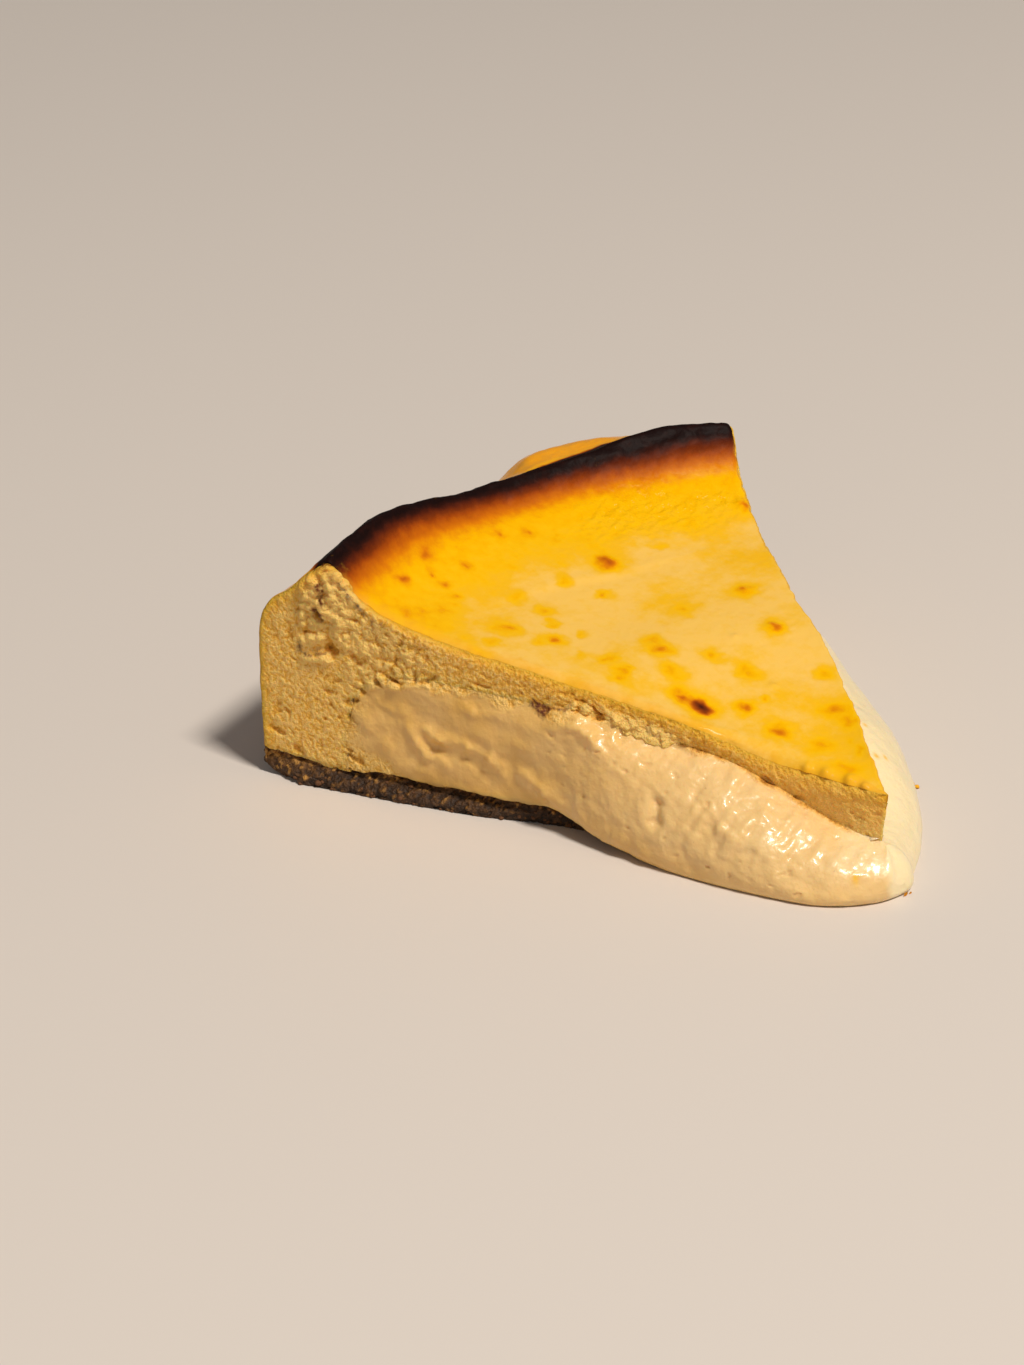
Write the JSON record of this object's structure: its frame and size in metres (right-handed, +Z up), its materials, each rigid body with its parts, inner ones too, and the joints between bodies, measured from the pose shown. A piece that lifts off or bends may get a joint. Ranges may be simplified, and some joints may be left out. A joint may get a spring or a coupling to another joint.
{
  "type": "cheesecake slice",
  "caption": "Wedge of burnt cheesecake on a biscuit base, with a scorched raised rim and a molten centre that runs out of its cuts and round its tip.",
  "frame": {"origin": "centre of the slice's outline on the surface that it rests on", "axes": "+Z up, +Y from the tip out to the rim, +X to the right as seen from the tip, where the centre has run out furthest"},
  "size_m": [0.1124, 0.1241, 0.0462],
  "materials": {
    "biscuit_crumb": "matte",
    "molten_custard": "gloss",
    "set_custard": "satin"
  },
  "bodies": {
    "root": {"biscuit_base": "biscuit_crumb", "molten_centre": "molten_custard", "baked_custard": "set_custard"}
  },
  "joints": []
}
